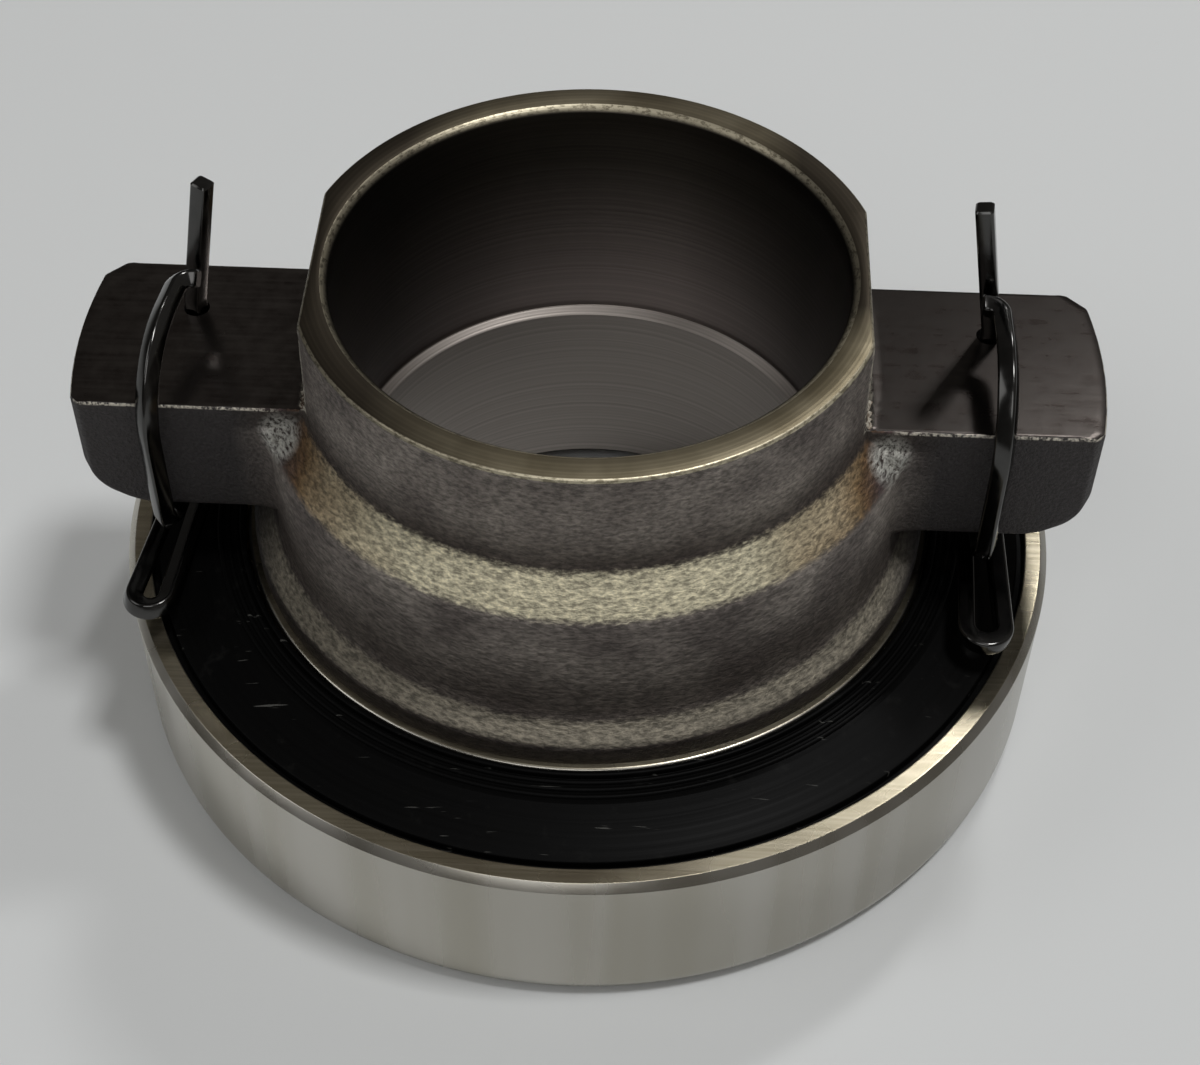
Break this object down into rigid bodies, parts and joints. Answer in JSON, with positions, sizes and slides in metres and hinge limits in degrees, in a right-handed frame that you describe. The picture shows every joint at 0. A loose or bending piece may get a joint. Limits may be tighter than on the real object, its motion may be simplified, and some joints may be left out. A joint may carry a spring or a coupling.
{
  "type": "clutch release bearing",
  "caption": "Clutch release bearing: a cast hub with fork lugs and black spring wire clips on a sealed ball bearing with a bright steel outer ring.",
  "frame": {"origin": "on the bore axis, in the plane of the contact face that presses on the clutch", "axes": "+Z along the bore from the contact face to the neck's rim, +X through the middle of the right lug, +Y away from the clips' front hooks"},
  "size_m": [0.094, 0.09, 0.0532],
  "materials": {
    "hub_casting": "shot-blasted casting, turned bore and rim, milled lug tops",
    "bearing_steel": "ground",
    "seal_rubber": "satin",
    "cage_polyamide": "moulded",
    "spring_wire": "gloss black, oiled",
    "ball_steel": "polished"
  },
  "bodies": {
    "carrier": {"hub": "hub_casting", "inner_ring": "bearing_steel"},
    "outer_race": {"outer_ring": "bearing_steel", "seal_upper": "seal_rubber", "seal_lower": "seal_rubber"},
    "ball_set": {"cage": "cage_polyamide", "ball_01": "ball_steel", "ball_02": "ball_steel", "ball_03": "ball_steel", "ball_04": "ball_steel", "ball_05": "ball_steel", "ball_06": "ball_steel", "ball_07": "ball_steel", "ball_08": "ball_steel", "ball_09": "ball_steel", "ball_10": "ball_steel", "ball_11": "ball_steel", "ball_12": "ball_steel", "ball_13": "ball_steel", "ball_14": "ball_steel", "ball_15": "ball_steel"},
    "right_clip": {"clip_right": "spring_wire"},
    "left_clip": {"clip_left": "spring_wire"}
  },
  "joints": [
    {"name": "outer_spin", "type": "hinge", "parent": "carrier", "child": "outer_race", "pos_m": [0, 0, 0.0094], "axis": [0, 0, 1], "continuous": true},
    {"name": "cage_spin", "type": "hinge", "parent": "carrier", "child": "ball_set", "pos_m": [0, 0, 0.0094], "axis": [0, 0, 1], "continuous": true},
    {"name": "right_clip_swivel", "type": "hinge", "parent": "carrier", "child": "right_clip", "pos_m": [0.03681, 0.0035, 0.0315], "axis": [0, 0, 1], "range_deg": [-4, 12]},
    {"name": "left_clip_swivel", "type": "hinge", "parent": "carrier", "child": "left_clip", "pos_m": [-0.03681, 0.0035, 0.0315], "axis": [0, 0, 1], "range_deg": [-5, 11]}
  ],
  "couplings": [
    {"joint": "cage_spin", "follows": "outer_spin", "ratio": 0.5602}
  ]
}
